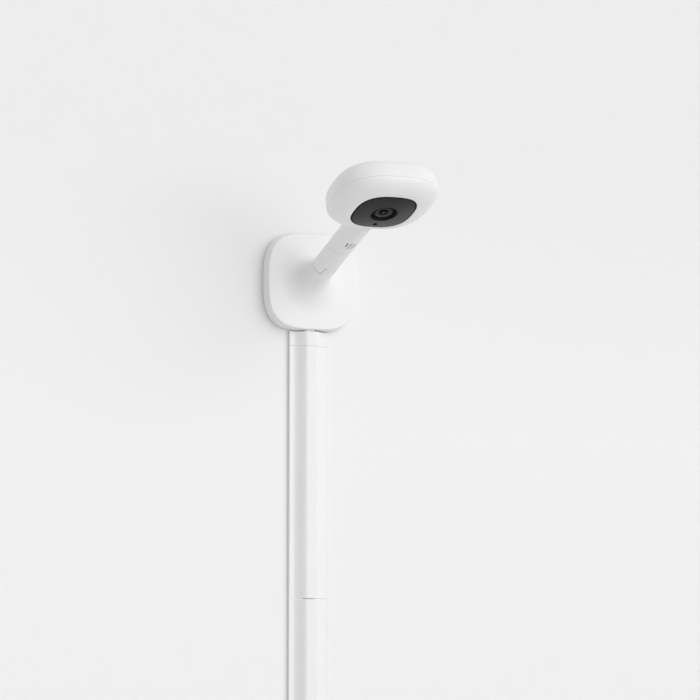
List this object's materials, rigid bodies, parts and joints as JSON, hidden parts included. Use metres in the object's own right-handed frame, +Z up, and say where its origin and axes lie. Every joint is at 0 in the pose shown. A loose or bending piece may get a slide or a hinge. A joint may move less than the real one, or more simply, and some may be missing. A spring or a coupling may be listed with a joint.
{
  "type": "baby monitor camera",
  "caption": "Wall-mounted nursery camera: a flat rounded head with a dark lens window tilts on a round plug-in stem from a square wall plate, with a cable raceway running down the wall.",
  "frame": {"origin": "middle of the wall bracket's back, on the wall", "axes": "+X to the right as the plate is faced, +Y into the wall, +Z up"},
  "size_m": [0.0812, 0.1761, 0.5178],
  "materials": {
    "white_gloss": "gloss white moulding",
    "white_matte": "matte white extrusion",
    "tape_foam": "foam tape",
    "bracket_steel": "plated pressing",
    "spring_steel": "plated",
    "spreader_aluminium": "plain sheet",
    "black_satin": "satin black moulding",
    "black_gloss": "gloss black",
    "window_smoke": "smoked gloss panel",
    "lens_glass": "coated lens",
    "board_green": "circuit board",
    "lamp_clear": "clear lamp body",
    "wire_sheath": "wire sheath",
    "aerial_film": "copper film on plastic",
    "friction_rubber": "friction washer"
  },
  "bodies": {
    "wall_mount": {"mount_cover": "white_gloss", "wall_bracket": "bracket_steel", "raceway_stub": "white_gloss", "raceway_cover_upper": "white_gloss", "raceway_cover_lower": "white_gloss", "raceway_strip_upper": "white_matte", "raceway_strip_lower": "white_matte", "raceway_tape_upper": "tape_foam", "raceway_tape_lower": "tape_foam"},
    "camera_stem": {"stem_sleeve": "white_gloss", "stem_tube": "white_gloss", "tab_spring": "spring_steel", "power_inlet": "spring_steel", "inlet_board": "board_green", "speaker_module": "black_satin", "stem_wires": "wire_sheath", "neck_knuckle": "white_gloss", "neck_screw_left": "spring_steel", "neck_screw_right": "spring_steel"},
    "release_tab": {"release_tab": "white_gloss"},
    "camera_head": {"head_top_shell": "white_gloss", "head_bottom_shell": "white_gloss", "window_cover": "window_smoke", "lens_bezel": "black_satin", "lens_ring": "black_gloss", "lens_front_element": "lens_glass", "lens_barrel": "black_satin", "lens_holder": "black_satin", "sensor_board": "board_green", "lamp_board": "board_green", "infrared_lamp_1": "lamp_clear", "infrared_lamp_2": "lamp_clear", "infrared_lamp_3": "lamp_clear", "infrared_lamp_4": "lamp_clear", "light_sensor": "black_gloss", "microphone": "spring_steel", "main_board": "board_green", "heat_spreader": "spreader_aluminium", "radio_aerial": "aerial_film", "board_screw_1": "spring_steel", "board_screw_2": "spring_steel", "board_screw_3": "spring_steel", "board_screw_4": "spring_steel", "tilt_bracket": "bracket_steel", "tilt_pin": "spring_steel", "friction_washer_left": "friction_rubber", "friction_washer_right": "friction_rubber", "bracket_screw_1": "spring_steel", "bracket_screw_2": "spring_steel"}
  },
  "joints": [
    {"name": "camera_release", "type": "slide", "parent": "wall_mount", "child": "camera_stem", "axis": [0, -0.9397, 0.342], "range_m": [0, 0.03]},
    {"name": "tab_press", "type": "slide", "parent": "camera_stem", "child": "release_tab", "axis": [0, 0.342, 0.9397], "range_m": [0, 0.001], "stiffness_N_per_m": 900, "springref_m": -0.0005, "deforming": ["tab_spring"]},
    {"name": "head_tilt", "type": "hinge", "parent": "camera_stem", "child": "camera_head", "pos_m": [0, -0.11747, 0.04051], "axis": [1, 0, 0], "range_deg": [-12, 12]}
  ]
}
